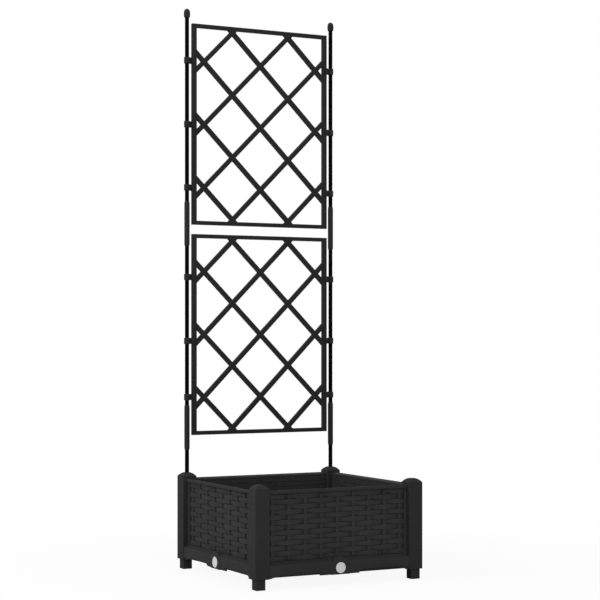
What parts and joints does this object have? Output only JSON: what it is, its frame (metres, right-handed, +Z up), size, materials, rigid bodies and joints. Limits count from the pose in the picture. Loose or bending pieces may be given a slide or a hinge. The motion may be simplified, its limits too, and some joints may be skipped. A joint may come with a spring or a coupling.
{
  "type": "planter",
  "caption": "Square floor planter with woven-look panels between corner posts, short feet, drain plugs and a tall lattice trellis on poles at the back.",
  "frame": {"origin": "on the floor under the middle of the box, between the four feet", "axes": "+X along the front face to the viewer's right, +Y from the front to the trellis at the back, +Z up"},
  "size_m": [0.43, 0.43, 1.35],
  "materials": {
    "box_plastic": "dark charcoal moulded plastic, fine matte grain",
    "inner_plastic": "dark charcoal moulded plastic, smooth matte",
    "trellis_plastic": "dark charcoal moulded plastic, satin",
    "pole_coating": "satin black coating on steel tube",
    "plug_plastic": "white plastic, smooth",
    "seal_rubber": "black rubber, matte"
  },
  "bodies": {
    "box": {"corner_post_front_left": "box_plastic", "post_cap_front_left": "box_plastic", "foot_front_left": "box_plastic", "corner_post_front_right": "box_plastic", "post_cap_front_right": "box_plastic", "foot_front_right": "box_plastic", "corner_post_back_right": "box_plastic", "post_cap_back_right": "box_plastic", "foot_back_right": "box_plastic", "corner_post_back_left": "box_plastic", "post_cap_back_left": "box_plastic", "foot_back_left": "box_plastic", "side_panel_front": "box_plastic", "side_panel_right": "box_plastic", "side_panel_back": "box_plastic", "side_panel_left": "box_plastic", "floor_tray": "inner_plastic"},
    "trellis": {"lattice_lower": "trellis_plastic", "lattice_upper": "trellis_plastic", "pole_lower_left": "pole_coating", "pole_middle_left": "pole_coating", "pole_upper_left": "pole_coating", "sleeve_lower_left": "trellis_plastic", "sleeve_upper_left": "trellis_plastic", "finial_left": "trellis_plastic", "clip_lower_low_left": "trellis_plastic", "clip_lower_middle_left": "trellis_plastic", "clip_lower_high_left": "trellis_plastic", "clip_upper_low_left": "trellis_plastic", "clip_upper_middle_left": "trellis_plastic", "clip_upper_high_left": "trellis_plastic", "pole_lower_right": "pole_coating", "pole_middle_right": "pole_coating", "pole_upper_right": "pole_coating", "sleeve_lower_right": "trellis_plastic", "sleeve_upper_right": "trellis_plastic", "finial_right": "trellis_plastic", "clip_lower_low_right": "trellis_plastic", "clip_lower_middle_right": "trellis_plastic", "clip_lower_high_right": "trellis_plastic", "clip_upper_low_right": "trellis_plastic", "clip_upper_middle_right": "trellis_plastic", "clip_upper_high_right": "trellis_plastic"},
    "soil_grid": {"soil_grid": "inner_plastic"},
    "plug_front": {"drain_plug_front": "plug_plastic", "plug_seal_front": "seal_rubber"},
    "plug_right": {"drain_plug_right": "plug_plastic", "plug_seal_right": "seal_rubber"},
    "plug_back": {"drain_plug_back": "plug_plastic", "plug_seal_back": "seal_rubber"},
    "plug_left": {"drain_plug_left": "plug_plastic", "plug_seal_left": "seal_rubber"}
  },
  "joints": [
    {"name": "trellis_lift", "type": "slide", "parent": "box", "child": "trellis", "axis": [0, 0, 1], "range_m": [0, 0.155]},
    {"name": "soil_grid_lift", "type": "slide", "parent": "box", "child": "soil_grid", "axis": [0, 0, 1], "range_m": [0, 0.18]},
    {"name": "plug_front_pull", "type": "slide", "parent": "box", "child": "plug_front", "axis": [0, -1, 0], "range_m": [0, 0.031]},
    {"name": "plug_right_pull", "type": "slide", "parent": "box", "child": "plug_right", "axis": [1, 0, 0], "range_m": [0, 0.031]},
    {"name": "plug_back_pull", "type": "slide", "parent": "box", "child": "plug_back", "axis": [0, 1, 0], "range_m": [0, 0.031]},
    {"name": "plug_left_pull", "type": "slide", "parent": "box", "child": "plug_left", "axis": [-1, 0, 0], "range_m": [0, 0.031]}
  ]
}
